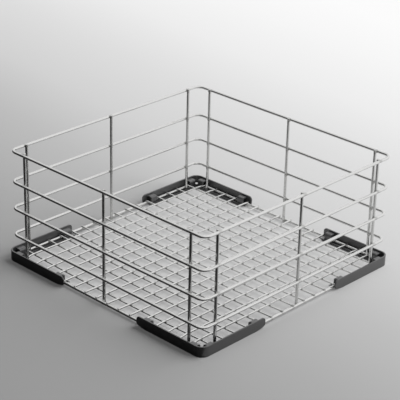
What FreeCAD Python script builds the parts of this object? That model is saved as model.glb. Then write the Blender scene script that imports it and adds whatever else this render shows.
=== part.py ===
import FreeCAD, Part
import math
import os

# Pull-out glass basket: a square basket of welded round wire that slides on
# four moulded corner glides clipped to its floor frame.
# Millimetres. +X is right, -Y is the front, +Z is up. The origin lies on the
# surface that the glides rest on, under the middle of the basket.

# Overall size, measured over the outer faces of the corner glides
basket_width = 500.0
basket_depth = 500.0

# Heights of the wire loops, to the middle of the wire
lower_hoop_height = 51.0
middle_hoop_height = 104.0
upper_hoop_height = 157.0
rim_height = 217.0

# Wire diameters
rim_wire = 5.5
hoop_wire = 5.5
upright_wire = 5.5
frame_wire = 6.0
floor_wire = 3.5

# Bends and ends of the wires
loop_bend_radius = 14.0
wire_end_chamfer = 0.4
upright_above_rim = 0.6
upright_above_ledge = 0.3
upright_from_corner = 42.5

# Floor: lower wires run along X and dip a little, upper wires run along Y
# on top of them and are cranked to the height of the frame wire at both ends
floor_wires_each_way = 16
floor_dip = 4.0
floor_wire_overrun = 2.0
floor_wire_straight = 8.0
crank_run = 22.0
crank_flat = 3.5
least_crank = 0.02

# Welding presses crossing wires a little way into each other
upright_set_down = 1.6
floor_set_down = 1.2

# Clearances
weld_gap = 0.05
frame_to_glide_wall = 2.0
clip_clearance = 0.4

# Corner glide
leg_past_end_hook = 12.4
glide_height = 20.0
glide_wall = 3.0
glide_corner_radius = 17.0
glide_edge_radius = 0.8
ledge_width = 20.0
ledge_thickness = 2.0
ledge_corner_radius = 10.0
lip_inset = 16.2
lip_thickness = 1.8
lip_height = 2.3
lip_corner_radius = 12.0
skid_length = 27.0
skid_rise = 4.5
skid_nose_radius = 4.0
leg_top_radius = 7.0

# Clip hooks that hold the glide on the frame wire, two on each leg
hook_length = 15.0
hook_top = 17.0
hook_thickness = 3.0
hook_reach = 15.0
hook_round = 4.0
hook_above_ledge = 1.0
hook_web = 2.5
corner_hook_from_wire = 1.5
floor_wires_before_end_hook = 4

# Places worked out from the sizes above
half_width = basket_width / 2
half_depth = basket_depth / 2
frame_inset = glide_wall + frame_to_glide_wall + frame_wire / 2
upright_inset = frame_inset + (frame_wire + upright_wire) / 2 + weld_gap - upright_set_down
frame_z = ledge_thickness + weld_gap + frame_wire / 2
floor_end_z = frame_z + (frame_wire + floor_wire) / 2 + weld_gap - floor_set_down
floor_half_width = half_width - frame_inset
floor_half_depth = half_depth - frame_inset
floor_pitch_x = 2 * floor_half_width / (floor_wires_each_way + 1)
floor_pitch_y = 2 * floor_half_depth / (floor_wires_each_way + 1)
end_hook_from_frame = (floor_wires_before_end_hook + 0.5) * max(floor_pitch_x, floor_pitch_y)
glide_leg = frame_inset + end_hook_from_frame + hook_length / 2 + leg_past_end_hook
dip_radius = (floor_half_width ** 2 + floor_dip ** 2) / (2 * floor_dip)
loop_sizes = (
    (frame_wire, frame_z),
    (hoop_wire, lower_hoop_height),
    (hoop_wire, middle_hoop_height),
    (hoop_wire, upper_hoop_height),
    (rim_wire, rim_height),
)

X_AXIS = FreeCAD.Vector(1, 0, 0)
Y_AXIS = FreeCAD.Vector(0, 1, 0)
Z_AXIS = FreeCAD.Vector(0, 0, 1)


def point(x, y, z=0.0):
    return FreeCAD.Vector(x, y, z)


def line(start, end):
    return Part.LineSegment(start, end).toShape()


def arc(start, middle, end):
    return Part.Arc(start, middle, end).toShape()


def sweep_wire(edges, diameter, start, direction):
    """Round wire of one diameter along a path of lines and arcs."""
    ring = Part.Wire(Part.Circle(start, direction, diameter / 2).toShape())
    return Part.Wire(edges).makePipeShell([ring], True, False)


def chamfer_ends(solid):
    """Break the sharp edge on the cut ends of a wire."""
    ends = [face for face in solid.Faces if isinstance(face.Surface, Part.Plane)]
    return solid.makeChamfer(wire_end_chamfer, [face.OuterWire.Edges[0] for face in ends])


def loop_inset(diameter):
    """How far in from the glide faces a loop lies that is welded outside the uprights."""
    return upright_inset - (upright_wire + diameter) / 2 - weld_gap + upright_set_down


def weld_seat(place, direction, diameter):
    """Room for a crossing wire that the welding has pressed into another one."""
    length = 2 * (frame_wire + upright_wire)
    radius = diameter / 2 + weld_gap
    return Part.makeCylinder(radius, length, place - direction * (length / 2), direction)


def rounded_loop(diameter, height):
    """Closed wire loop with four bends, welded to the outside of the uprights."""
    inset = loop_inset(diameter)
    half_x = half_width - inset
    half_y = half_depth - inset
    bend = loop_bend_radius
    diagonal = bend * math.sqrt(0.5)
    start = point(0, -half_y, height)
    edges = []
    place = start
    turns = ((1, -1), (1, 1), (-1, 1), (-1, -1))
    for number, (side_x, side_y) in enumerate(turns):
        centre = point(side_x * (half_x - bend), side_y * (half_y - bend), height)
        out_x = centre + X_AXIS * (side_x * bend)
        out_y = centre + Y_AXIS * (side_y * bend)
        middle = centre + point(side_x * diagonal, side_y * diagonal)
        first, last = (out_y, out_x) if number % 2 == 0 else (out_x, out_y)
        edges += [line(place, first), arc(first, middle, last)]
        place = last
    edges.append(line(place, start))
    return sweep_wire(edges, diameter, start, X_AXIS)


def upright(x, y):
    """Straight upright wire, from just above the glide ledge to just above the rim,
    with a seat for each loop on the side that faces out."""
    bottom = ledge_thickness + upright_above_ledge
    top = rim_height + rim_wire / 2 + upright_above_rim
    bar = Part.makeCylinder(upright_wire / 2, top - bottom, point(x, y, bottom), Z_AXIS)
    bar = chamfer_ends(bar)
    faces_out_along_x = half_width - abs(x) < half_depth - abs(y)
    for diameter, height in loop_sizes:
        out_x = math.copysign(half_width - loop_inset(diameter), x)
        out_y = math.copysign(half_depth - loop_inset(diameter), y)
        if faces_out_along_x:
            bar = bar.cut(weld_seat(point(out_x, y, height), Y_AXIS, diameter))
        else:
            bar = bar.cut(weld_seat(point(x, out_y, height), X_AXIS, diameter))
    return bar


def lower_wire_height(x):
    """Height of the middle of the dished lower floor wires at a place along X."""
    lowest = floor_end_z - floor_dip
    return lowest + dip_radius - math.sqrt(dip_radius ** 2 - x ** 2)


def lower_floor_wire(y):
    """Floor wire along X, one shallow arc with straight ends on top of the frame wire."""
    bend_end = floor_half_width - floor_wire_straight
    slope = math.asin(bend_end / dip_radius)
    run = floor_wire_straight + floor_wire_overrun
    left_bend = point(-bend_end, y, lower_wire_height(bend_end))
    right_bend = point(bend_end, y, lower_wire_height(bend_end))
    direction = point(math.cos(slope), 0, -math.sin(slope))
    start = left_bend - direction * run
    end = right_bend + point(direction.x, 0, -direction.z) * run
    middle = point(0, y, lower_wire_height(0))
    path = [line(start, left_bend), arc(left_bend, middle, right_bend), line(right_bend, end)]
    wire = sweep_wire(path, floor_wire, start, direction)
    for side in (-1, 1):
        place = point(side * floor_half_width, y, frame_z)
        wire = wire.cut(weld_seat(place, Y_AXIS, frame_wire))
    return wire


def crank(x, side, level, rise):
    """Two tangent arcs that take a floor wire from the frame wire to its own level."""
    turn = 2 * math.atan(rise / crank_run)
    radius = crank_run / (2 * math.sin(turn))
    outer = floor_half_depth - crank_flat
    half_turn = turn / 2
    along = radius * math.sin(half_turn)
    up = radius * (1 - math.cos(half_turn))
    low_end = point(x, side * outer, level - rise)
    low_middle = point(x, side * (outer - along), level - rise + up)
    centre = point(x, side * (outer - crank_run / 2), level - rise / 2)
    high_middle = point(x, side * (outer - crank_run + along), level - up)
    high_end = point(x, side * (outer - crank_run), level)
    return low_end, low_middle, centre, high_middle, high_end


def upper_floor_wire(x):
    """Floor wire along Y, lying on the lower wires and cranked near both ends."""
    reach = floor_half_depth + floor_wire_overrun
    level = lower_wire_height(x) + floor_wire + weld_gap
    rise = level - floor_end_z
    start = point(x, -reach, floor_end_z)
    end = point(x, reach, floor_end_z)
    edges = [line(start, end)]
    if abs(rise) > least_crank:
        front = crank(x, -1, level, rise)
        back = crank(x, 1, level, rise)[::-1]
        edges = [
            line(start, front[0]),
            arc(*front[0:3]),
            arc(*front[2:5]),
            line(front[4], back[0]),
            arc(*back[0:3]),
            arc(*back[2:5]),
            line(back[4], end),
        ]
    wire = sweep_wire(edges, floor_wire, start, Y_AXIS)
    for side in (-1, 1):
        place = point(x, side * floor_half_depth, frame_z)
        wire = wire.cut(weld_seat(place, X_AXIS, frame_wire))
    return wire


def corner_outline(inset, bend):
    """Edges of an L that follows the outer corner at one inset, with a round bend.
    The outer corner is at the origin and the legs run along -X and -Y."""
    near = -inset - bend
    on_arc = near + bend * math.sqrt(0.5)
    leg_x = point(-glide_leg, -inset)
    leg_y = point(-inset, -glide_leg)
    turn_in = point(near, -inset)
    turn_out = point(-inset, near)
    middle = point(on_arc, on_arc)
    return leg_x, leg_y, [line(leg_x, turn_in), arc(turn_in, middle, turn_out), line(turn_out, leg_y)]


def corner_band(outer, outer_bend, inner, inner_bend, bottom, height):
    """Upright L-shaped strip between two insets from the outer faces."""
    start, end, outer_edges = corner_outline(outer, outer_bend)
    inner_start, inner_end, inner_edges = corner_outline(inner, inner_bend)
    closing = [line(end, inner_end), line(inner_start, start)]
    outline = Part.Wire(Part.__sortEdges__(outer_edges + inner_edges + closing))
    strip = Part.Face(outline).extrude(Z_AXIS * height)
    strip.translate(Z_AXIS * bottom)
    return strip


def leg_side_view():
    """Side view of a leg in the XZ plane: flat sole, skid that rises in an arc to a
    round nose, and a rounded top corner. Past the outer corner it runs on a little."""
    beyond = glide_wall
    skid_start = -(glide_leg - skid_length)
    skid_radius = (skid_length ** 2 + skid_rise ** 2) / (2 * skid_rise)
    nose = skid_nose_radius
    nose_x = -glide_leg + nose
    reach = nose_x - skid_start
    nose_z = skid_radius - math.sqrt((skid_radius - nose) ** 2 - reach ** 2)
    tangent = math.asin(-reach / (skid_radius - nose))
    join = point(nose_x - nose * math.sin(tangent), 0, nose_z - nose * math.cos(tangent))
    half = tangent / 2
    skid_middle = point(
        skid_start - skid_radius * math.sin(half), 0, skid_radius * (1 - math.cos(half)))
    turn = (math.pi / 2 + tangent) / 2
    nose_middle = point(nose_x - nose * math.cos(turn), 0, nose_z - nose * math.sin(turn))
    nose_end = point(-glide_leg, 0, nose_z)
    top = leg_top_radius
    top_start = point(-glide_leg, 0, glide_height - top)
    top_middle = point(
        -glide_leg + top * (1 - math.sqrt(0.5)), 0, glide_height - top * (1 - math.sqrt(0.5)))
    top_end = point(-glide_leg + top, 0, glide_height)
    sole_start = point(skid_start, 0, 0)
    edges = [
        line(point(beyond, 0, 0), sole_start),
        arc(sole_start, skid_middle, join),
        arc(join, nose_middle, nose_end),
        line(nose_end, top_start),
        arc(top_start, top_middle, top_end),
        line(top_end, point(beyond, 0, glide_height)),
        line(point(beyond, 0, glide_height), point(beyond, 0, 0)),
    ]
    return Part.Face(Part.Wire(edges))


def hook_places(floor_pitch):
    """Distance from the outer corner to the corner side of each hook on a leg. One hook
    lies before the first floor wire, the other half-way between two floor wires."""
    first_wire_side = frame_inset + floor_pitch - floor_wire / 2
    corner_hook = first_wire_side - corner_hook_from_wire - hook_length
    between_wires = frame_inset + floor_pitch * (floor_wires_before_end_hook + 0.5)
    return corner_hook, between_wires - hook_length / 2


def hook(place):
    """Clip hook on the X leg: an arm from the wall over the frame wire, a finger down
    behind the wire, and a web with a saddle that presses on the wire."""
    finger_end = ledge_thickness + hook_above_ledge
    under_arm = hook_top - hook_thickness
    finger_face = hook_reach - hook_thickness
    rounding = hook_round * (1 - math.sqrt(0.5))
    inner_round = hook_round - hook_thickness
    inner_rounding = inner_round * (1 - math.sqrt(0.5))
    edges = [
        line(point(0, -glide_wall, under_arm), point(0, -glide_wall, hook_top)),
        line(point(0, -glide_wall, hook_top), point(0, -hook_reach + hook_round, hook_top)),
        arc(point(0, -hook_reach + hook_round, hook_top),
            point(0, -hook_reach + rounding, hook_top - rounding),
            point(0, -hook_reach, hook_top - hook_round)),
        line(point(0, -hook_reach, hook_top - hook_round), point(0, -hook_reach, finger_end)),
        line(point(0, -hook_reach, finger_end), point(0, -finger_face, finger_end)),
        line(point(0, -finger_face, finger_end), point(0, -finger_face, under_arm - inner_round)),
        arc(point(0, -finger_face, under_arm - inner_round),
            point(0, -finger_face + inner_rounding, under_arm - inner_rounding),
            point(0, -finger_face + inner_round, under_arm)),
        line(point(0, -finger_face + inner_round, under_arm), point(0, -glide_wall, under_arm)),
    ]
    section = Part.Face(Part.Wire(edges))
    body = section.extrude(X_AXIS * -hook_length)
    web_depth = hook_reach - glide_wall - hook_thickness / 2
    web = Part.makeBox(
        hook_web, web_depth, under_arm - frame_z + hook_thickness / 2,
        point(-(hook_length + hook_web) / 2, -glide_wall - web_depth, frame_z))
    saddle = Part.makeCylinder(
        frame_wire / 2 + clip_clearance, hook_length, point(0, -frame_inset, frame_z), X_AXIS * -1)
    body = body.fuse(web.cut(saddle))
    body.translate(X_AXIS * -place)
    return body


def hook_window(place):
    """Opening in the ledge below a hook, which the hook needs to be moulded."""
    width = hook_reach - hook_thickness - glide_wall
    return Part.makeBox(
        hook_length, width, ledge_thickness,
        point(-place - hook_length, -glide_wall - width, 0))


def swap_legs(shape):
    """Mirror across the diagonal, which turns one leg of the glide into the other."""
    return shape.mirror(point(0, 0, 0), point(1, -1, 0))


def inset_of(vertex):
    """How far in from the outer face a corner of the wall lies."""
    return min(-vertex.X, -vertex.Y)


def glide_wall_rounded(side_views):
    """Outer wall of the glide, cut to its side view, with round moulded edges."""
    wall = corner_band(
        0, glide_corner_radius, glide_wall, glide_corner_radius - glide_wall, 0, glide_height)
    for view in side_views:
        wall = wall.common(view)
    edges = []
    for edge in wall.Edges:
        insets = [inset_of(vertex) for vertex in edge.Vertexes]
        if max(insets) - min(insets) < glide_wall / 2:
            edges.append(edge)
    return wall.makeFillet(glide_edge_radius, edges)


def corner_glide():
    """One moulded glide with its outer corner at the origin and legs along -X and -Y."""
    leg_x = leg_side_view().extrude(Y_AXIS * -(glide_leg + 2 * glide_wall))
    leg_x.translate(Y_AXIS * glide_wall)
    side_views = (leg_x, swap_legs(leg_x))
    wall = glide_wall_rounded(side_views)
    ledge = corner_band(
        glide_wall / 2, glide_corner_radius - glide_wall / 2, ledge_width, ledge_corner_radius,
        0, ledge_thickness)
    lip = corner_band(
        lip_inset, lip_corner_radius, lip_inset + lip_thickness,
        lip_corner_radius - lip_thickness, ledge_thickness / 2, ledge_thickness / 2 + lip_height)
    hooks = [hook(place) for place in hook_places(floor_pitch_x)]
    hooks += [swap_legs(hook(place)) for place in hook_places(floor_pitch_y)]
    windows = [hook_window(place) for place in hook_places(floor_pitch_x)]
    windows += [swap_legs(hook_window(place)) for place in hook_places(floor_pitch_y)]
    floor = ledge.fuse(lip).cut(windows)
    for view in side_views:
        floor = floor.common(view)
    return wall.fuse([floor] + hooks).removeSplitter().Solids[0]


def save(shape, name):
    shape.exportStep("parts/" + name + ".step")


def save_loops():
    save(rounded_loop(rim_wire, rim_height), "rim_wire")
    save(rounded_loop(hoop_wire, upper_hoop_height), "upper_hoop")
    save(rounded_loop(hoop_wire, middle_hoop_height), "middle_hoop")
    save(rounded_loop(hoop_wire, lower_hoop_height), "lower_hoop")
    save(rounded_loop(frame_wire, frame_z), "floor_frame_wire")


def save_uprights():
    line_x = half_width - upright_inset
    line_y = half_depth - upright_inset
    spread_x = half_width - upright_from_corner
    spread_y = half_depth - upright_from_corner
    for number, step in enumerate((-1, 0, 1), start=1):
        save(upright(step * spread_x, -line_y), "upright_front_%d" % number)
        save(upright(step * spread_x, line_y), "upright_back_%d" % number)
        save(upright(-line_x, step * spread_y), "upright_left_%d" % number)
        save(upright(line_x, step * spread_y), "upright_right_%d" % number)


def save_floor():
    for number in range(1, floor_wires_each_way + 1):
        step = number - (floor_wires_each_way + 1) / 2
        save(lower_floor_wire(step * floor_pitch_y), "floor_wire_lower_%02d" % number)
        save(upper_floor_wire(step * floor_pitch_x), "floor_wire_upper_%02d" % number)


def save_glides():
    back_right = corner_glide()
    back_right.translate(point(half_width, half_depth))
    back_left = back_right.mirror(point(0, 0), X_AXIS)
    save(back_right, "corner_glide_back_right")
    save(back_left, "corner_glide_back_left")
    save(back_right.mirror(point(0, 0), Y_AXIS), "corner_glide_front_right")
    save(back_left.mirror(point(0, 0), Y_AXIS), "corner_glide_front_left")


os.makedirs("parts", exist_ok=True)
save_loops()
save_uprights()
save_floor()
save_glides()
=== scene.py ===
# %% [markdown]
# # Pull-out glass basket
# A square basket of bright round wire, open at the top, that stands and slides on four
# black moulded corner glides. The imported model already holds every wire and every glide
# at its real size, so this lesson dresses it: camera, floor, light, the bright finish of
# the wire, the satin of the moulded plastic, and the small welds that hold it together.
# All sizes are in metres, in the model's own frame: +X right, -Y front, +Z up.

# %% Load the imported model
import bpy
import math
import random
from mathutils import Matrix, Vector


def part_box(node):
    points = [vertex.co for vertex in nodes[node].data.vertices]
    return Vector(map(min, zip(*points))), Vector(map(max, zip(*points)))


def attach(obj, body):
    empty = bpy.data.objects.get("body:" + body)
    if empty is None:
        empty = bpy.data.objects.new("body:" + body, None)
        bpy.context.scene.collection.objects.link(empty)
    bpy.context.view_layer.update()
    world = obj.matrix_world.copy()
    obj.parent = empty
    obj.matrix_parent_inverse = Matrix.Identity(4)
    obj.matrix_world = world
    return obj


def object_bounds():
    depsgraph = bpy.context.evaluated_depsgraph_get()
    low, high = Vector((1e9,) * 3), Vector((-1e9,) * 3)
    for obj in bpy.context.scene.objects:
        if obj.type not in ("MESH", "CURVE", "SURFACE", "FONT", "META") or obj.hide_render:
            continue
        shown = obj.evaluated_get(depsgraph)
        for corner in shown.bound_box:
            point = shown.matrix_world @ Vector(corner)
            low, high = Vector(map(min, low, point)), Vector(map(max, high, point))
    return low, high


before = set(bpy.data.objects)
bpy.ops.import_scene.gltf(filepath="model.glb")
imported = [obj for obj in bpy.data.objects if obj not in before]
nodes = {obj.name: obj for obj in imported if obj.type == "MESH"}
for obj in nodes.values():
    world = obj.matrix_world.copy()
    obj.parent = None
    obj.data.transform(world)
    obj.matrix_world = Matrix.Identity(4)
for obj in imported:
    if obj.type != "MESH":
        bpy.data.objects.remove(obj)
cad_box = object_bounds()
mm = 0.001
print("nodes:", len(nodes), "box:", [tuple(round(v, 4) for v in corner) for corner in cad_box])

# %% [markdown]
# ## The camera
# The photograph looks down on one corner of the basket with a long lens from a little
# under three metres. A long lens keeps the far side of the basket almost as large as the
# near one. The camera is set by what a photographer would note: where it stands round the
# basket, how steeply it looks down, how far off it is and how much it is tipped sideways.

# %% Camera
scene = bpy.context.scene
camera_azimuth = 43.52
camera_elevation = 24.99
camera_tilt = 1.47
camera_distance = 2.790
camera_target = Vector((-0.05035, 0.05217, 0.091))
camera_far_end = 50.0
image_width = 400
focal_in_pixels = 1489.8
sensor_width = 36.0


def camera_axes():
    """The camera's right, its up and its back, which points away from what it looks at."""
    azimuth = math.radians(camera_azimuth)
    elevation = math.radians(camera_elevation)
    tilt = math.radians(camera_tilt)
    back = Vector((math.sin(azimuth) * math.cos(elevation),
                   -math.cos(azimuth) * math.cos(elevation),
                   math.sin(elevation)))
    level = (-back).cross(Vector((0, 0, 1))).normalized()
    above = level.cross(-back)
    right = level * math.cos(tilt) + above * math.sin(tilt)
    up = above * math.cos(tilt) - level * math.sin(tilt)
    return right, up, back


def make_camera():
    right, up, back = camera_axes()
    turn = Matrix((right, up, back)).transposed()
    data = bpy.data.cameras.new("camera")
    data.lens = sensor_width * focal_in_pixels / image_width
    data.sensor_width = sensor_width
    data.clip_end = camera_far_end
    camera = bpy.data.objects.new("camera", data)
    scene.collection.objects.link(camera)
    place = Matrix.Translation(camera_target + back * camera_distance)
    camera.matrix_world = place @ turn.to_4x4()
    return camera


scene.camera = make_camera()
print("lens:", round(scene.camera.data.lens, 1), "mm")

# %% [markdown]
# ## Colours and nodes
# Colours are written the way a designer picks them, as sRGB hex values. Blender's
# shaders work with linear light, so one function turns a hex value into linear numbers.
# A second small function adds a shader node, sets its values and makes its links, so
# that each material below reads as a list of what it is made of. A third gives a colour
# ramp its stops, at the values that the ramp stands for.

# %% Helpers for colours and nodes
def linear(hex_colour):
    """An sRGB hex colour as linear red, green and blue, with full alpha."""
    parts = [int(hex_colour[i:i + 2], 16) / 255 for i in (1, 3, 5)]
    light = [p / 12.92 if p <= 0.04045 else ((p + 0.055) / 1.055) ** 2.4 for p in parts]
    return (*light, 1.0)


def add(tree, kind, inputs=None, **settings):
    """Adds one node. An input is a plain value, or another node's output socket."""
    node = tree.nodes.new(kind)
    for name, value in settings.items():
        setattr(node, name, value)
    for name, value in (inputs or {}).items():
        if isinstance(value, bpy.types.NodeSocket):
            tree.links.new(value, node.inputs[name])
        else:
            node.inputs[name].default_value = value
    return node


def new_material(name):
    material = bpy.data.materials.new(name)
    material.use_nodes = True
    material.node_tree.nodes.clear()
    return material, material.node_tree


def set_ramp(ramp, stops, start=0.0, end=1.0):
    """Gives a ramp its stops, as pairs of value and hex colour, for values from start to end."""
    elements = ramp.color_ramp.elements
    while len(elements) < len(stops):
        elements.new(0.5)
    for element, (value, colour) in zip(elements, stops):
        element.position = (value - start) / (end - start)
        element.color = linear(colour)


print("mid grey #808080 is", round(linear("#808080")[0], 3), "in linear light")

# %% [markdown]
# ## What the eye and a mirror see
# Blender follows light backwards, in rays from the camera, and each ray knows its kind.
# Camera, glossy and transmission rays show a surface to the eye, directly, in metal or
# through glass. All other rays carry the soft light that fills shadows. A shader can tell
# them apart, so light painted evenly on the paper and the bright studio are seen while
# neither fills the shadows more. A second helper measures how far out a place lies, on any side.

# %% Helpers for rays and places
def seen_by_eye_or_mirror(tree):
    """1 for camera rays, off metal and through glass, and 0 for the light that fills."""
    ray = add(tree, "ShaderNodeLightPath")
    mirrored = add(tree, "ShaderNodeMath", {
        0: ray.outputs["Is Glossy Ray"], 1: ray.outputs["Is Transmission Ray"]},
        operation="MAXIMUM")
    seen = add(tree, "ShaderNodeMath", {
        0: ray.outputs["Is Camera Ray"], 1: mirrored.outputs["Value"]}, operation="MAXIMUM")
    return seen.outputs["Value"]


def from_middle(tree, place):
    """How far a place lies from the middle of the basket along X, and along Y."""
    sides = add(tree, "ShaderNodeVectorMath", {0: place}, operation="ABSOLUTE")
    out = add(tree, "ShaderNodeSeparateXYZ", {"Vector": sides.outputs["Vector"]})
    return out.outputs["X"], out.outputs["Y"]


print("helpers:", seen_by_eye_or_mirror.__name__, "and", from_middle.__name__)

# %% [markdown]
# ## Painted light on the paper under the mat
# The basket stands on pale matt paper. Under its open mat the photograph shows the paper
# lighter than beside it, most of all at the front left, because much of the soft light
# passes between the wires of a real mat and comes back off the paper. So light is painted
# on the paper there, as a gain on its tone. Half of its tone under the mat is painted light
# that glows evenly to the eye and in mirrors. This softens the shadows of the mat's wires,
# and the other half takes them in full.

# %% Painted light on the paper under the mat
mat_floor_gain_front = 1.77
mat_floor_gain_back = 1.54
mat_floor_gain_right = 0.94
mat_floor_inside = 0.225
mat_floor_outside = 0.258
mat_floor_even_share = 0.5
mat_floor_even_light = 0.70


def mat_gain(tree, place):
    """How much light is painted on the paper under the mat: it falls to the back and the right."""
    axes = add(tree, "ShaderNodeSeparateXYZ", {"Vector": place})
    to_back = add(tree, "ShaderNodeMapRange", {
        "Value": axes.outputs["Y"], "From Min": -mat_floor_inside, "From Max": mat_floor_inside,
        "To Min": mat_floor_gain_front, "To Max": mat_floor_gain_back})
    to_right = add(tree, "ShaderNodeMapRange", {
        "Value": axes.outputs["X"], "From Min": 0.0, "From Max": mat_floor_inside,
        "To Min": 1.0, "To Max": mat_floor_gain_right})
    gain = add(tree, "ShaderNodeMath", {
        0: to_back.outputs["Result"], 1: to_right.outputs["Result"]}, operation="MULTIPLY")
    return gain.outputs["Value"]


def under_mat(tree, place, under, beside):
    """Takes one value under the mat and another beside the basket, with a soft change."""
    out_x, out_y = from_middle(tree, place)
    reach = add(tree, "ShaderNodeMath", {0: out_x, 1: out_y}, operation="MAXIMUM")
    change = add(tree, "ShaderNodeMapRange", {
        "Value": reach.outputs["Value"],
        "From Min": mat_floor_inside, "From Max": mat_floor_outside,
        "To Min": under, "To Max": beside}, interpolation_type="SMOOTHSTEP")
    return change.outputs["Result"]


print("paper under the mat is", mat_floor_gain_front, "times lighter at the front left")

# %% [markdown]
# ## Matt paper
# The paper is painted lighter towards the back, a little more so at the right: that is
# painted light, which stands in for the light falling off from the back. One ramp along
# that direction paints it. Paper is matt, so its roughness is high and it hardly
# glosses. It has no grain, because none shows at this distance.

# %% Paper material
floor_ramp_start = -2.0
floor_ramp_end = 1.6
floor_ramp_direction = Vector((0.14, 0.99, 0.0))
floor_tones = (
    (-2.00, "#8F8F8F"), (-0.54, "#979797"), (-0.30, "#9F9F9F"), (-0.10, "#ABABAB"),
    (0.10, "#BABABA"), (0.30, "#CECECE"), (0.55, "#DBDBDB"), (0.80, "#EAEAEA"),
    (1.07, "#F3F3F3"), (1.30, "#F8F8F8"))
paper_roughness = 0.9
paper_gloss = 0.1


def paper_material():
    material, tree = new_material("matt paper sweep")
    place = add(tree, "ShaderNodeTexCoord").outputs["Object"]
    along = add(tree, "ShaderNodeVectorMath", {
        0: place, 1: floor_ramp_direction}, operation="DOT_PRODUCT")
    share = add(tree, "ShaderNodeMapRange", {
        "Value": along.outputs["Value"],
        "From Min": floor_ramp_start, "From Max": floor_ramp_end})
    ramp = add(tree, "ShaderNodeValToRGB", {"Fac": share.outputs["Result"]})
    set_ramp(ramp, floor_tones, floor_ramp_start, floor_ramp_end)
    # The paper's tone is raised by the light painted under the mat.
    tone = add(tree, "ShaderNodeVectorMath", {
        0: ramp.outputs["Color"], "Scale": under_mat(tree, place, mat_gain(tree, place), 1.0)},
        operation="SCALE")
    paper = add(tree, "ShaderNodeBsdfPrincipled", {
        "Base Color": tone.outputs["Vector"], "Roughness": paper_roughness,
        "Specular IOR Level": paper_gloss})
    # Painted light: under the mat, part of the paper glows evenly to the eye and in mirrors.
    even = add(tree, "ShaderNodeEmission", {
        "Color": tone.outputs["Vector"], "Strength": mat_floor_even_light})
    even_share = add(tree, "ShaderNodeMath", {
        0: under_mat(tree, place, mat_floor_even_share, 0.0), 1: seen_by_eye_or_mirror(tree)},
        operation="MULTIPLY")
    sheet = add(tree, "ShaderNodeMixShader", {
        0: even_share.outputs["Value"], 1: paper.outputs["BSDF"], 2: even.outputs["Emission"]})
    add(tree, "ShaderNodeOutputMaterial", {"Surface": sheet.outputs["Shader"]})
    return material


matt_paper = paper_material()
print("paper has", len(floor_tones), "tones from front to back")

# %% [markdown]
# ## The floor
# The paper lies flat under the basket. It is far larger than a real roll, so that its
# edge never shows. The floor belongs to the studio, not to the basket.

# %% Floor
floor_size = 160.0


def stage_sheet(name, corners, material):
    """A flat sheet that belongs to the studio and not to the basket."""
    mesh = bpy.data.meshes.new(name)
    mesh.from_pydata(corners, [], [tuple(range(len(corners)))])
    mesh.materials.append(material)
    sheet = bpy.data.objects.new(name, mesh)
    scene.collection.objects.link(sheet)
    return sheet


half = floor_size / 2
stage_sheet("floor", [(-half, -half, 0), (half, -half, 0), (half, half, 0), (-half, half, 0)],
            matt_paper)
print("floor:", floor_size, "m square")

# %% [markdown]
# ## Light
# One wide soft lamp stands at the back right, so the shadow falls softly to the front.
# Polished wire is a mirror, so the rest of the light is about what the wire can see: a
# studio that is white at the back and overhead and dark low down at the front left.
# That is what draws a dark lower edge and a light upper edge along each wire. The lamp
# itself is hidden from reflections, and the studio fills the shadows only weakly. Behind
# the floor's far edge, a view from the side shows an even pale backdrop.

# %% Lamp and studio
lamp_direction = Vector((0.35, 0.70, 0.62))
lamp_strength = 3.35
lamp_spread = 70.0
studio_fill = 0.45
studio_bright_side = Vector((0.45, 0.65, 0.61))
studio_tones = (
    (-1.0, "#0C0C0C"), (-0.5, "#2A2A2A"), (-0.32, "#545454"), (-0.10, "#E2E2E2"),
    (0.3, "#F0F0F0"), (0.7, "#FFFFFF"))
studio_darkest = -1.0
studio_brightest = 1.0
studio_backdrop = "#DADADA"


def make_lamp():
    data = bpy.data.lights.new("back lamp", "SUN")
    data.energy = lamp_strength
    data.angle = math.radians(lamp_spread)
    lamp = bpy.data.objects.new("back lamp", data)
    lamp.rotation_mode = "QUATERNION"
    lamp.rotation_quaternion = lamp_direction.to_track_quat("Z", "Y")
    lamp.visible_glossy = False
    scene.collection.objects.link(lamp)


def make_studio():
    """The studio's tones run from the darkest side to the brightest, by a dot product."""
    world = bpy.data.worlds.new("studio")
    world.use_nodes = True
    tree = world.node_tree
    tree.nodes.clear()
    seen = add(tree, "ShaderNodeTexCoord")
    side = add(tree, "ShaderNodeVectorMath", {
        0: seen.outputs["Generated"], 1: studio_bright_side.normalized()},
        operation="DOT_PRODUCT")
    share = add(tree, "ShaderNodeMapRange", {
        "Value": side.outputs["Value"],
        "From Min": studio_darkest, "From Max": studio_brightest})
    ramp = add(tree, "ShaderNodeValToRGB", {"Fac": share.outputs["Result"]})
    set_ramp(ramp, studio_tones, studio_darkest, studio_brightest)
    strength = add(tree, "ShaderNodeMapRange", {
        "Value": seen_by_eye_or_mirror(tree), "To Min": studio_fill, "To Max": 1.0})
    ray = add(tree, "ShaderNodeLightPath")
    colour = add(tree, "ShaderNodeMix", {
        0: ray.outputs["Is Camera Ray"], 6: ramp.outputs["Color"], 7: linear(studio_backdrop)},
        data_type="RGBA")
    glow = add(tree, "ShaderNodeBackground", {
        "Color": colour.outputs[2], "Strength": strength.outputs["Result"]})
    add(tree, "ShaderNodeOutputWorld", {"Surface": glow.outputs["Background"]})
    scene.world = world


make_lamp()
make_studio()
scene.view_settings.view_transform = "Standard"
print("lamp from", tuple(round(v, 2) for v in lamp_direction.normalized()))

# %% [markdown]
# ## Card of painted reflection
# Polished metal on pale paper looks flat, because it mirrors pale paper. So a dark card
# that only reflections see is laid in front of it. It is a painted dark reflection, which
# draws the dark line along the lower edge of every wire. The card lies at the front, grey
# where it starts under the mat and black further out. A notch beside the right side lets
# the glide there mirror the pale paper. Only reflections see the card, so the paper and
# its shadows stay as they are.

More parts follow.
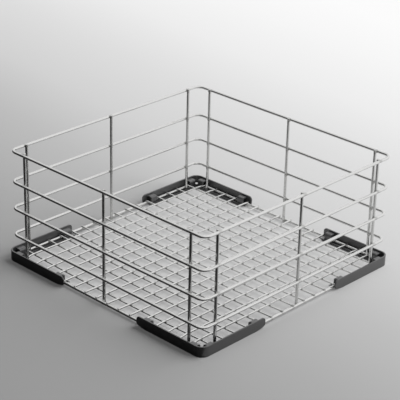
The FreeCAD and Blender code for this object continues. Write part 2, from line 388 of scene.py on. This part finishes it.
# %% Card of painted reflection at the front
card_start = -0.05
card_fade = 0.50
card_tones = (
    (0.0, "#B4B4B4"), (0.16, "#868686"), (0.32, "#4A4A4A"), (0.60, "#363636"),
    (1.0, "#262626"))
card_reach = 3.0
card_lift = 1.0 * mm
card_notch = 0.05


def card_material():
    material, tree = new_material("painted reflection card")
    place = add(tree, "ShaderNodeTexCoord").outputs["Object"]
    axes = add(tree, "ShaderNodeSeparateXYZ", {"Vector": place})
    away = add(tree, "ShaderNodeMapRange", {
        "Value": axes.outputs["Y"], "From Min": card_start, "From Max": card_start - card_fade})
    fade = add(tree, "ShaderNodeValToRGB", {"Fac": away.outputs["Result"]})
    set_ramp(fade, card_tones)
    card = add(tree, "ShaderNodeBsdfDiffuse", {"Color": fade.outputs["Color"]})
    add(tree, "ShaderNodeOutputMaterial", {"Surface": card.outputs["BSDF"]})
    return material


right_end = cad_box[1][0]
notch_end = right_end + card_notch
card_outline = (
    (-card_reach, -card_reach), (card_reach, -card_reach),
    (card_reach, card_start), (notch_end, card_start),
    (notch_end, -right_end), (right_end, -right_end),
    (right_end, card_start), (-card_reach, card_start))
card = stage_sheet("painted reflection card", [(x, y, card_lift) for x, y in card_outline], card_material())
# Only glossy rays see the card, so it is a painted dark reflection and casts no shade.
for rays in ("camera", "diffuse", "transmission", "volume_scatter", "shadow"):
    setattr(card, "visible_" + rays, False)
print("card reaches", card_reach, "m to the front")

# %% [markdown]
# ## Bright wire
# The wire is stainless steel, drawn through dies, welded, then electropolished. Drawing
# leaves faint lines along the wire, and polishing rounds them off, so the eye sees a
# clear but slightly soft mirror. Beside each weld the polish reaches less well, and the
# steel stays a little duller and darker. The metal keeps the default IOR. Real drawing
# lines are a few hundredths of a millimetre apart, too fine to show, so they are drawn
# coarser here.

# %% Values and patterns of the electropolished steel
steel_colour = "#DBDBDA"
weld_colour = "#A2A2A0"
weld_tone_share = 0.8
steel_roughness = 0.16
steel_roughness_wander = 0.05
weld_roughness_more = 0.14
polish_cloud = 7.0 * mm
polish_depth = 0.02 * mm
polish_strength = 0.5
drawn_line_gap = 0.7 * mm
drawn_line_length = 60.0 * mm
drawn_line_strength = 0.4
weld_haze_reach = 6.0 * mm
haze_start = -0.26
haze_end = 0.26


def stretched_noise(tree, place, run):
    """Noise pulled out along one axis, as lines along a drawn wire."""
    scale = [1 / drawn_line_gap] * 3
    scale[run] = 1 / drawn_line_length
    pulled = add(tree, "ShaderNodeVectorMath", {
        0: place, 1: tuple(scale)}, operation="MULTIPLY")
    lines = add(tree, "ShaderNodeTexNoise", {
        "Vector": pulled.outputs["Vector"], "Scale": 1.0, "Detail": 2.0})
    return lines.outputs["Fac"]


def haze_at(tree, along, places):
    """A ramp along a wire that is white at each weld and black between them."""
    share = add(tree, "ShaderNodeMapRange", {
        "Value": along, "From Min": haze_start, "From Max": haze_end})
    ramp = add(tree, "ShaderNodeValToRGB", {"Fac": share.outputs["Result"]})
    stops = []
    for place in places:
        stops.append((place - weld_haze_reach, "#000000"))
        stops.append((place, "#FFFFFF"))
        stops.append((place + weld_haze_reach, "#000000"))
    set_ramp(ramp, stops, haze_start, haze_end)
    return ramp.outputs["Color"]


def haze_every(tree, along, pitch):
    """The same for crossings at a steady pitch, which lie half a pitch from the middle."""
    bounce = add(tree, "ShaderNodeMath", {0: along, 1: pitch / 2}, operation="PINGPONG")
    near = add(tree, "ShaderNodeMapRange", {
        "Value": bounce.outputs["Value"],
        "From Min": pitch / 2 - weld_haze_reach / 2, "From Max": pitch / 2})
    return near.outputs["Result"]


print("drawing lines every", round(drawn_line_gap / mm, 2), "mm")

# %% [markdown]
# ## One steel for each way a wire runs
# The lines follow the wire, so wires that run along X, Y and Z each get their own lines.
# A loop runs along X on two sides and along Y on the other two. Where it is further out
# along X than along Y, it runs along Y.

# %% Steel material
def loop_run(tree, place, along_x, along_y):
    """Takes one value where a loop runs along Y, and the other where it runs along X."""
    out_x, out_y = from_middle(tree, place)
    runs_y = add(tree, "ShaderNodeMath", {0: out_x, 1: out_y}, operation="GREATER_THAN")
    pick = add(tree, "ShaderNodeMix", {
        0: runs_y.outputs["Value"], 2: along_x, 3: along_y}, data_type="FLOAT")
    return pick.outputs[0]


def steel_material(name, run, weld_places=None, weld_pitch=None):
    """run is 0, 1 or 2 for a wire along X, Y or Z, or "loop"."""
    material, tree = new_material(name)
    place = add(tree, "ShaderNodeTexCoord").outputs["Object"]
    axes = add(tree, "ShaderNodeSeparateXYZ", {"Vector": place})
    if run == "loop":
        lines = loop_run(tree, place, stretched_noise(tree, place, 0),
                         stretched_noise(tree, place, 1))
        along = loop_run(tree, place, axes.outputs["X"], axes.outputs["Y"])
    else:
        lines = stretched_noise(tree, place, run)
        along = axes.outputs[run]
    if weld_places:
        haze = haze_at(tree, along, weld_places)
    else:
        haze = haze_every(tree, along, weld_pitch)
    cloud = add(tree, "ShaderNodeTexNoise", {
        "Vector": place, "Scale": 1 / polish_cloud, "Detail": 3.0})
    uneven = add(tree, "ShaderNodeMath", {
        0: haze, 1: cloud.outputs["Fac"]}, operation="MULTIPLY")
    tone = add(tree, "ShaderNodeValToRGB", {"Fac": uneven.outputs["Value"]})
    set_ramp(tone, [(0.0, steel_colour), (weld_tone_share, weld_colour)])
    polish = add(tree, "ShaderNodeMapRange", {
        "Value": cloud.outputs["Fac"],
        "To Min": steel_roughness - steel_roughness_wander,
        "To Max": steel_roughness + steel_roughness_wander})
    rough = add(tree, "ShaderNodeMath", {
        0: haze, 1: weld_roughness_more, 2: polish.outputs["Result"]},
        operation="MULTIPLY_ADD")
    soft = add(tree, "ShaderNodeBump", {
        "Height": cloud.outputs["Fac"], "Strength": polish_strength, "Distance": polish_depth})
    drawn = add(tree, "ShaderNodeBump", {
        "Height": lines, "Strength": drawn_line_strength, "Distance": polish_depth,
        "Normal": soft.outputs["Normal"]})
    steel = add(tree, "ShaderNodeBsdfPrincipled", {
        "Base Color": tone.outputs["Color"], "Metallic": 1.0,
        "Roughness": rough.outputs["Value"], "Normal": drawn.outputs["Normal"]})
    add(tree, "ShaderNodeOutputMaterial", {"Surface": steel.outputs["BSDF"]})
    return material


print("roughness of the steel", steel_roughness, "and up to", weld_roughness_more, "more at welds")

# %% [markdown]
# ## The steels of this basket
# The loops are welded to the uprights, the frame wire to the mat, the uprights to the
# loops and the mat's wires to each other. So each family of wires has its dull places at
# its own crossings, and the boxes of the nodes say where these are.

# %% Families of wires
def middle(name):
    low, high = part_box(name)
    return Vector([(a + b) / 2 for a, b in zip(low, high)])


def nodes_called(start):
    return sorted(name for name in nodes if name.startswith(start))


loop_names = ("floor_frame_wire", "lower_hoop", "middle_hoop", "upper_hoop", "rim_wire")
upright_names = nodes_called("upright_")
lower_floor_names = nodes_called("floor_wire_lower_")
upper_floor_names = nodes_called("floor_wire_upper_")
loop_heights = [middle(name).z for name in loop_names]
upright_places = sorted({round(middle(name).x, 5) for name in upright_names if "front" in name})
floor_pitch = middle(lower_floor_names[1]).y - middle(lower_floor_names[0]).y
steel_loop = steel_material("electropolished steel, loop", "loop", weld_places=upright_places)
steel_frame = steel_material("electropolished steel, frame", "loop", weld_pitch=floor_pitch)
steel_upright = steel_material("electropolished steel, upright", 2, weld_places=loop_heights)
steel_floor_x = steel_material("electropolished steel, along X", 0, weld_pitch=floor_pitch)
steel_floor_y = steel_material("electropolished steel, along Y", 1, weld_pitch=floor_pitch)
print("floor pitch", round(floor_pitch / mm, 2), "mm, uprights at",
      [round(place / mm, 1) for place in upright_places])

# %% [markdown]
# ## Weld metal
# A fillet of melted metal was never drawn through a die. It is pickled and polished with
# the rest, but its skin stays finely pitted, so it is a rougher and slightly darker metal.

# %% Fused steel
fused_colour = "#BDBDBB"
fused_roughness = 0.30
fused_pit = 0.9 * mm
fused_pit_depth = 0.05 * mm
fused_pit_strength = 0.6
patch_low = 0.3
patch_high = 0.7


def fused_material():
    """Its tone changes in patches, between a low and a high value of the noise."""
    material, tree = new_material("fused stainless steel")
    place = add(tree, "ShaderNodeTexCoord").outputs["Object"]
    pits = add(tree, "ShaderNodeTexNoise", {
        "Vector": place, "Scale": 1 / fused_pit, "Detail": 2.0})
    tone = add(tree, "ShaderNodeValToRGB", {"Fac": pits.outputs["Fac"]})
    set_ramp(tone, [(patch_low, weld_colour), (patch_high, fused_colour)])
    bump = add(tree, "ShaderNodeBump", {
        "Height": pits.outputs["Fac"], "Strength": fused_pit_strength,
        "Distance": fused_pit_depth})
    fused = add(tree, "ShaderNodeBsdfPrincipled", {
        "Base Color": tone.outputs["Color"], "Metallic": 1.0,
        "Roughness": fused_roughness, "Normal": bump.outputs["Normal"]})
    add(tree, "ShaderNodeOutputMaterial", {"Surface": fused.outputs["BSDF"]})
    return material


fused_steel = fused_material()
print("weld metal roughness", fused_roughness)

# %% [markdown]
# ## Inside and underside of a glide
# The glides are injection moulded. The core side of a mould is left coarser than its
# outside, so all that lies inside the outer wall is duller. It is also painted greyer:
# that is painted light, which stands in for the light on the inner walls. The soles and
# the lowest edge are scuffed paler by sliding, and fine rubbed marks run along them.

# %% Where a glide is duller and painted lighter, and where it is scuffed
glide_wall = 3.0 * mm
glide_corner_radius = 17.0 * mm
scuff_height = 2.5 * mm
scuff_gap = 1.2 * mm
scuff_stretch = 0.05
scuff_noise_low = 0.45
scuff_noise_high = 0.75


def core_side(tree, place):
    """1 inside the outer walls of the glides and 0 on their outside, corners included."""
    corner_middle = right_end - glide_corner_radius
    flat = add(tree, "ShaderNodeVectorMath", {0: place, 1: (1, 1, 0)}, operation="MULTIPLY")
    sides = add(tree, "ShaderNodeVectorMath", {0: flat.outputs["Vector"]}, operation="ABSOLUTE")
    past = add(tree, "ShaderNodeVectorMath", {
        0: sides.outputs["Vector"], 1: (corner_middle, corner_middle, 0)}, operation="SUBTRACT")
    outward = add(tree, "ShaderNodeVectorMath", {
        0: past.outputs["Vector"], 1: (0, 0, 0)}, operation="MAXIMUM")
    reach = add(tree, "ShaderNodeVectorMath", {
        0: outward.outputs["Vector"]}, operation="LENGTH")
    inside = add(tree, "ShaderNodeMapRange", {
        "Value": reach.outputs["Value"], "From Min": glide_corner_radius - glide_wall,
        "From Max": glide_corner_radius - glide_wall / 2, "To Min": 1.0, "To Max": 0.0})
    return inside.outputs["Result"]


def scuffed(tree, place, height):
    """Rubbed marks on the sole, which fade out up the lowest edge."""
    low = add(tree, "ShaderNodeMapRange", {
        "Value": height, "From Min": 0.0, "From Max": scuff_height,
        "To Min": 1.0, "To Max": 0.0})
    along_floor = scuff_stretch / scuff_gap
    pulled = add(tree, "ShaderNodeVectorMath", {
        0: place, 1: (along_floor, along_floor, 1 / scuff_gap)}, operation="MULTIPLY")
    rubbed = add(tree, "ShaderNodeTexNoise", {
        "Vector": pulled.outputs["Vector"], "Scale": 1.0, "Detail": 4.0})
    marks = add(tree, "ShaderNodeMapRange", {
        "Value": rubbed.outputs["Fac"],
        "From Min": scuff_noise_low, "From Max": scuff_noise_high})
    scuff = add(tree, "ShaderNodeMath", {
        0: low.outputs["Result"], 1: marks.outputs["Result"]}, operation="MULTIPLY")
    return scuff.outputs["Value"]


print("scuffs reach", round(scuff_height / mm, 2), "mm up the glides")

# %% [markdown]
# ## Black plastic
# The glides are black polyamide, which slides well. The mould is lightly spark eroded, so
# the skin is satin with a very fine grain, drawn coarser here so that it shows. A thin
# line runs round the outer wall where the mould parts.

# %% Moulded polyamide
plastic_dark = "#101011"
plastic_light = "#19191A"
# The inner walls are painted this lighter grey, which is painted light.
core_side_colour = "#343435"
scuff_colour = "#3E3E40"
plastic_ior = 1.53
plastic_specular = 1.0
plastic_roughness = 0.36
plastic_roughness_wander = 0.06
core_side_roughness_more = 0.14
skin_gloss = 0.7
skin_roughness = 0.28
flow_cloud = 14.0 * mm
grain_size = 0.6 * mm
grain_depth = 0.03 * mm
grain_strength = 0.4
parting_height = 6.0 * mm
parting_half = 0.25 * mm
parting_step = 0.08 * mm
parting_strength = 0.6


def plastic_relief(tree, place, height):
    """The grain of the mould, and the step where its halves meet."""
    grain = add(tree, "ShaderNodeTexNoise", {
        "Vector": place, "Scale": 1 / grain_size, "Detail": 2.0})
    grained = add(tree, "ShaderNodeBump", {
        "Height": grain.outputs["Fac"], "Strength": grain_strength, "Distance": grain_depth})
    at_parting = add(tree, "ShaderNodeMath", {
        0: height, 1: parting_height, 2: parting_half}, operation="COMPARE")
    parted = add(tree, "ShaderNodeBump", {
        "Height": at_parting.outputs["Value"], "Strength": parting_strength,
        "Distance": parting_step, "Normal": grained.outputs["Normal"]})
    return parted.outputs["Normal"]


def plastic_material():
    material, tree = new_material("moulded black polyamide")
    place = add(tree, "ShaderNodeTexCoord").outputs["Object"]
    height = add(tree, "ShaderNodeSeparateXYZ", {"Vector": place}).outputs["Z"]
    inside = core_side(tree, place)
    flow = add(tree, "ShaderNodeTexNoise", {
        "Vector": place, "Scale": 1 / flow_cloud, "Detail": 2.0})
    moulded = add(tree, "ShaderNodeValToRGB", {"Fac": flow.outputs["Fac"]})
    set_ramp(moulded, [(patch_low, plastic_dark), (patch_high, plastic_light)])
    # Inside the outer wall the skin is painted lighter, which is painted light; it is also duller.
    skin = add(tree, "ShaderNodeMix", {
        0: inside, 6: moulded.outputs["Color"], 7: linear(core_side_colour)},
        data_type="RGBA")
    colour = add(tree, "ShaderNodeMix", {
        0: scuffed(tree, place, height), 6: skin.outputs[2], 7: linear(scuff_colour)},
        data_type="RGBA")
    satin = add(tree, "ShaderNodeMapRange", {
        "Value": flow.outputs["Fac"],
        "To Min": plastic_roughness - plastic_roughness_wander,
        "To Max": plastic_roughness + plastic_roughness_wander})
    dull = add(tree, "ShaderNodeMath", {
        0: inside, 1: core_side_roughness_more, 2: satin.outputs["Result"]},
        operation="MULTIPLY_ADD")
    plastic = add(tree, "ShaderNodeBsdfPrincipled", {
        "Base Color": colour.outputs[2], "Roughness": dull.outputs["Value"],
        "IOR": plastic_ior, "Specular IOR Level": plastic_specular,
        "Coat Weight": skin_gloss, "Coat Roughness": skin_roughness,
        "Normal": plastic_relief(tree, place, height)})
    add(tree, "ShaderNodeOutputMaterial", {"Surface": plastic.outputs["BSDF"]})
    return material


polyamide = plastic_material()
print("polyamide grain", round(grain_size / mm, 2), "mm")

# %% [markdown]
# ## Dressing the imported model
# The wires and glides keep their own shapes. Each gets the finish of its family.

# %% Finishes on the nodes
def finish_for(name):
    if name.startswith("corner_glide"):
        return polyamide
    if name in upright_names:
        return steel_upright
    if name in lower_floor_names:
        return steel_floor_x
    if name in upper_floor_names:
        return steel_floor_y
    if name == "floor_frame_wire":
        return steel_frame
    return steel_loop


for name, node in nodes.items():
    for slot in node.material_slots:
        slot.material = finish_for(name)
print("dressed", len(nodes), "nodes")

# %% [markdown]
# ## Where the welds are
# A wire basket is held together by resistance welds: the machine squeezes two crossing
# wires between copper electrodes, and the current melts them together where they touch.
# The places follow from the wires themselves. The boxes of the nodes give the lines of
# the uprights and loops. The mat is dished, so the height of each floor crossing comes
# from its dip in the middle and the height of its wires' ends.

# %% Lines of the wires
floor_dip = 4.0 * mm
floor_end_height = 8.65 * mm


def extent(name, axis):
    low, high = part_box(name)
    return high[axis] - low[axis]


loop_radius = {name: extent(name, 2) / 2 for name in loop_names}
loop_line = {name: extent(name, 0) / 2 - loop_radius[name] for name in loop_names}
upright_radius = extent(upright_names[0], 0) / 2
floor_radius = extent(lower_floor_names[0], 1) / 2
frame_line = loop_line["floor_frame_wire"]
frame_height = middle("floor_frame_wire").z
dish_radius = (frame_line ** 2 + floor_dip ** 2) / (2 * floor_dip)


def dish_height(x):
    """Height of the middle of a lower floor wire at a place along X."""
    return floor_end_height - floor_dip + dish_radius - math.sqrt(dish_radius ** 2 - x ** 2)


print("loops at heights", [round(height / mm, 1) for height in loop_heights], "mm")
print("wire radii", round(upright_radius / mm, 2), round(floor_radius / mm, 2), "mm")

# %% [markdown]
# ## The shape of one weld
# Where two round wires are fused, the melted metal draws a small hollow fillet round the
# joint. Seen in any plane through the joint, it is a curve that starts along one wire,
# bends at the place where the two surfaces meet, and ends along the other wire. So the
# fillet can be built plane by plane: find where the surfaces meet, walk a little way out
# along each of them, and join the two ends by a curve that aims at the meeting point.

# %% One weld fillet
fillet_planes = 16
fillet_steps = 4
walk_step = 0.02 * mm
seam_depth = 0.03 * mm
touch_start = 0.25 * mm
widest_on_wire = 0.96
least_across = 0.2


def walk_out(height_at, start, length, limit):
    """Goes outward along a surface line for a length, and gives the distance reached."""
    distance = start
    walked = 0.0
    while walked < length and distance + walk_step < limit:
        rise = height_at(distance + walk_step) - height_at(distance)
        walked += math.hypot(walk_step, rise)
        distance += walk_step
    return distance


def fillet_curve(turn, radius_1, radius_2, apart, size):
    """Points from the surface of wire 1 to the surface of wire 2, in one plane.
    Wire 1 runs along u, wire 2 runs along v at the distance apart above it."""
    across_1 = abs(math.sin(turn))
    across_2 = abs(math.cos(turn))

    def top_of_1(d):
        return math.sqrt(max(radius_1 ** 2 - (d * across_1) ** 2, 0.0))

    def underside_of_2(d):
        return apart - math.sqrt(max(radius_2 ** 2 - (d * across_2) ** 2, 0.0))

    limit_1 = widest_on_wire * radius_1 / max(across_1, least_across)
    limit_2 = widest_on_wire * radius_2 / max(across_2, least_across)
    meeting = touch_start
    while underside_of_2(meeting) < top_of_1(meeting) and meeting < min(limit_1, limit_2):
        meeting += walk_step
    out_1 = walk_out(top_of_1, meeting, size, limit_1)
    out_2 = walk_out(underside_of_2, meeting, size, limit_2)
    first = Vector((out_1, top_of_1(out_1) - seam_depth))
    last = Vector((out_2, underside_of_2(out_2) + seam_depth))
    corner = Vector((meeting, (top_of_1(meeting) + underside_of_2(meeting)) / 2))
    curve = []
    for step in range(fillet_steps + 1):
        t = step / fillet_steps
        curve.append(first * (1 - t) ** 2 + corner * 2 * t * (1 - t) + last * t ** 2)
    return [(d * math.cos(turn), d * math.sin(turn), up) for d, up in curve]


def fillet_shape(radius_1, radius_2, apart, size):
    turns = [2 * math.pi * k / fillet_planes for k in range(fillet_planes)]
    return [fillet_curve(turn, radius_1, radius_2, apart, size) for turn in turns]


print("one fillet has", fillet_planes * (fillet_steps + 1), "points")

# %% [markdown]
# ## All the welds
# The same fillet is set at every crossing, turned to follow its two wires. No two real
# welds are quite alike, so each one is a little larger or smaller than the last, from
# seeded random numbers. Each family of welds is one piece, closed by caps that are
# hidden inside the wires.

# %% Weld pieces
weld_variation = 0.05
weld_seed = 5
rng = random.Random(weld_seed)
unlimited = 1.0


def weld_faces(first):
    """The faces of one fillet whose points start at a number: its skin and its two caps."""
    row = fillet_steps + 1
    rows = [first + k * row for k in range(fillet_planes)]
    faces = []
    for here, there in zip(rows, rows[1:] + rows[:1]):
        for step in range(fillet_steps):
            faces.append((here + step, there + step, there + step + 1, here + step + 1))
    faces.append(tuple(reversed(rows)))
    faces.append(tuple(start + fillet_steps for start in rows))
    return faces


def weld_piece(name, welds, shape,
               lowest_u=-unlimited, highest_u=unlimited, highest_v=unlimited):
    """One piece of many welds, which ride with the basket.
    A weld is a point on the axis of wire 1, the way that wire runs, and the way to wire 2.
    The limits stop a weld flush with the end of a wire."""
    vertices = []
    faces = []
    for origin, u, up in welds:
        v = up.cross(u)
        faces += weld_faces(len(vertices))
        grow = rng.uniform(1 - weld_variation, 1 + weld_variation)
        for curve in shape:
            for a, b, c in curve:
                along_1 = min(max(a * grow, lowest_u), highest_u)
                along_2 = min(b * grow, highest_v)
                vertices.append(origin + u * along_1 + v * along_2 + up * c)
    mesh = bpy.data.meshes.new(name)
    mesh.from_pydata(vertices, [], faces)
    mesh.polygons.foreach_set("use_smooth", [len(face) == 4 for face in faces])
    mesh.materials.append(fused_steel)
    piece = bpy.data.objects.new(name, mesh)
    scene.collection.objects.link(piece)
    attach(piece, "root")
    print(name, "has", len(welds), "welds")


print("each weld is up to", round(100 * weld_variation), "percent larger or smaller")

# %% [markdown]
# ## Welds of the sides
# Uprights stand inside the loops, so their welds point outward. Near the end of an
# upright, the weld stops flush with the wire's end.

# %% Welds of the uprights
x_axis = Vector((1, 0, 0))
y_axis = Vector((0, 1, 0))
z_axis = Vector((0, 0, 1))
side_fillet = 0.9 * mm
end_margin = 0.05 * mm
upright_line = abs(middle(upright_names[0]).y)
upright_foot, upright_top = (corner.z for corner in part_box(upright_names[0]))
weld_families = (("welds_of_frame", loop_names[:1]), ("welds_of_hoops", loop_names[1:4]),
                 ("welds_of_rim", loop_names[4:]))


def outward(name):
    """The way from the middle of the basket to the side that an upright stands on."""
    here = middle(name)
    if "left" in name or "right" in name:
        return x_axis * math.copysign(1, here.x)
    return y_axis * math.copysign(1, here.y)


def upright_welds(loops):
    welds = []
    for upright in upright_names:
        foot = middle(upright)
        for loop in loops:
            point = Vector((foot.x, foot.y, middle(loop).z))
            welds.append((point, z_axis, outward(upright)))
    return welds


for family, loops in weld_families:
    lowest = loops[0]
    highest = loops[-1]
    apart = loop_line[lowest] - upright_line
    weld_piece(family, upright_welds(loops),
               fillet_shape(upright_radius, loop_radius[lowest], apart, side_fillet),
               lowest_u=upright_foot - middle(lowest).z + end_margin,
               highest_u=upright_top - middle(highest).z - end_margin)

# %% [markdown]
# ## Welds of the mat
# The mat's lower wires carry the upper ones, and every mat wire ends on the frame wire,
# so these welds point up. The model leaves a hair's breadth between two crossing wires,
# and the weld bridges it. Past the frame wire a mat wire goes on a little, and the weld
# stops flush with its end.

# %% Welds of the mat and its ends
mat_fillet = 0.8 * mm
weld_gap = 0.05 * mm
mat_x = [middle(name).x for name in upper_floor_names]
mat_y = [middle(name).y for name in lower_floor_names]
past_frame = extent(lower_floor_names[0], 0) / 2 - frame_line

mat_shape = fillet_shape(floor_radius, floor_radius, 2 * floor_radius + weld_gap, mat_fillet)
mat_welds = [(Vector((x, y, dish_height(x))), x_axis, z_axis) for x in mat_x for y in mat_y]
weld_piece("welds_of_mat", mat_welds, mat_shape)

end_shape = fillet_shape(loop_radius["floor_frame_wire"], floor_radius,
                         floor_end_height - frame_height, mat_fillet)
end_welds = []
for side in (-1, 1):
    for y in mat_y:
        point = Vector((side * frame_line, y, frame_height))
        end_welds.append((point, y_axis * -side, z_axis))
    for x in mat_x:
        point = Vector((x, side * frame_line, frame_height))
        end_welds.append((point, x_axis * side, z_axis))
weld_piece("welds_of_mat_ends", end_welds, end_shape, highest_v=past_frame - end_margin)
print("mat wires end", round(past_frame / mm, 2), "mm past the line of the frame wire")
